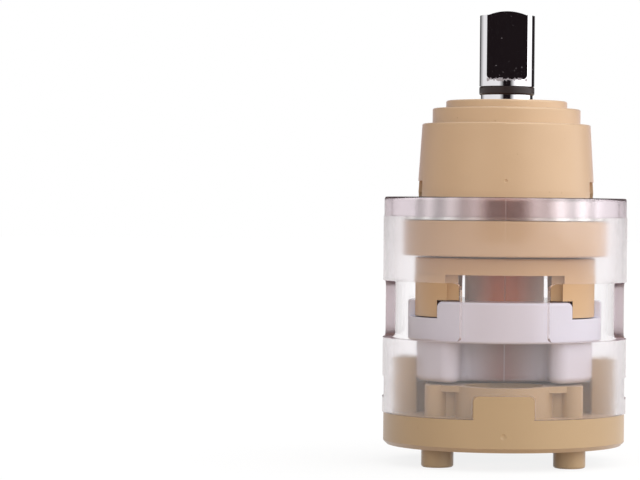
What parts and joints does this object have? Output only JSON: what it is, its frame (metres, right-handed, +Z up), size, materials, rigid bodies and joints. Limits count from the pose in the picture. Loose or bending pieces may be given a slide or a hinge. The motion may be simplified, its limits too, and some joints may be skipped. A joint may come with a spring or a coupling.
{
  "type": "ceramic disc tap cartridge",
  "caption": "Mixer tap cartridge: clear windowed housing, tan plastic base and stepped bell, ceramic discs, plated spindle that tilts and turns, blue inlet seal.",
  "frame": {"origin": "centre of the seat face under the base, where the cartridge rests in the tap body", "axes": "+Z up along the spindle at mid tilt; -Y is the side with the outlet and the locating pegs; the hot inlet is on -X and the cold inlet on +X"},
  "size_m": [0.04, 0.04, 0.074],
  "materials": {
    "clear_housing": "gloss",
    "tan_plastic": "satin",
    "white_ceramic": "satin",
    "blue_silicone": "satin",
    "black_rubber": "matte",
    "steel_sleeve": "polished",
    "plated_brass": "polished",
    "steel_pin": "satin"
  },
  "bodies": {
    "body": {"housing": "clear_housing", "base": "tan_plastic", "port_seal": "blue_silicone", "hot_disc_seal": "black_rubber", "cold_disc_seal": "black_rubber", "fixed_disc": "white_ceramic", "slip_ring": "steel_sleeve"},
    "rotor": {"bell": "tan_plastic", "spindle_pin": "steel_pin"},
    "lever": {"spindle": "plated_brass", "spindle_ring": "black_rubber"},
    "slider": {"driver": "tan_plastic", "moving_disc": "white_ceramic"}
  },
  "joints": [
    {"name": "temperature_turn", "type": "hinge", "parent": "body", "child": "rotor", "pos_m": [0, 0, 0.03373], "axis": [0, 0, 1], "range_deg": [-50, 50]},
    {"name": "flow_tilt", "type": "hinge", "parent": "rotor", "child": "lever", "pos_m": [0, 0, 0.04011], "axis": [1, 0, 0], "range_deg": [-12.5, 12.5]},
    {"name": "disc_slide", "type": "slide", "parent": "rotor", "child": "slider", "axis": [0, 1, 0], "range_m": [-0.00223, 0.00223]}
  ],
  "couplings": [
    {"joint": "disc_slide", "follows": "flow_tilt", "m_per_rad": 0.0102}
  ]
}
